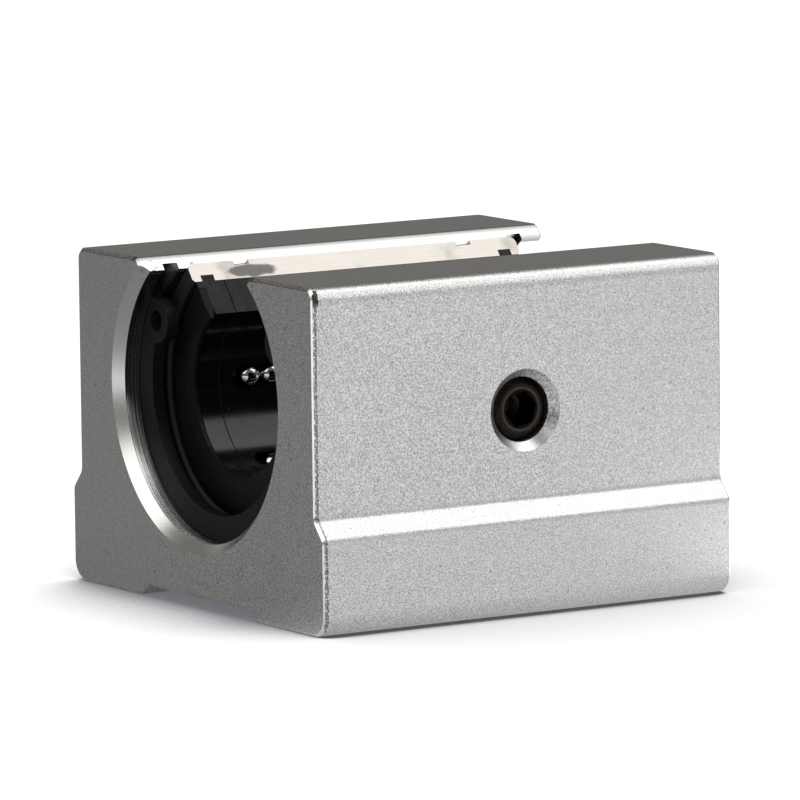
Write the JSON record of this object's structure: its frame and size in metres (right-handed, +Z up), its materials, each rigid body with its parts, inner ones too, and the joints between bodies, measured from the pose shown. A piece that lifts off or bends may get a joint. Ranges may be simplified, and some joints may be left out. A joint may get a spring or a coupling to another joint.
{
  "type": "open linear bearing block",
  "caption": "Flanged aluminium block that carries an open linear ball bearing on a rail-supported round shaft, with a side set screw for preload.",
  "frame": {"origin": "centre of the mounting face, halfway along the block", "axes": "+Z up from the mounting face to the rail opening, +Y along the shaft, +X towards the side with the set screw"},
  "size_m": [0.045, 0.045, 0.032],
  "materials": {
    "block_aluminium": "sandblasted and clear anodised",
    "blackened_steel": "black oxide",
    "spring_steel": "phosphated spring steel",
    "bearing_steel": "ground bearing steel",
    "black_resin": "glossy moulded",
    "black_rubber": "matt rubber",
    "ball_steel": "polished balls"
  },
  "bodies": {
    "block": {"housing": "block_aluminium", "front_circlip": "spring_steel", "rear_circlip": "spring_steel", "bearing_shell": "bearing_steel", "ball_retainer": "black_resin", "front_end_cap": "black_resin", "rear_end_cap": "black_resin", "front_seal": "black_rubber", "rear_seal": "black_rubber", "ball_circuit_1": "ball_steel", "ball_circuit_2": "ball_steel", "ball_circuit_3": "ball_steel", "ball_circuit_4": "ball_steel"},
    "screw": {"set_screw": "blackened_steel"}
  },
  "joints": [
    {"name": "set_screw_turn", "type": "hinge", "parent": "block", "child": "screw", "pos_m": [0.017, 0.00055, 0.019], "axis": [1, 0, 0], "range_deg": [-72, 288]}
  ]
}
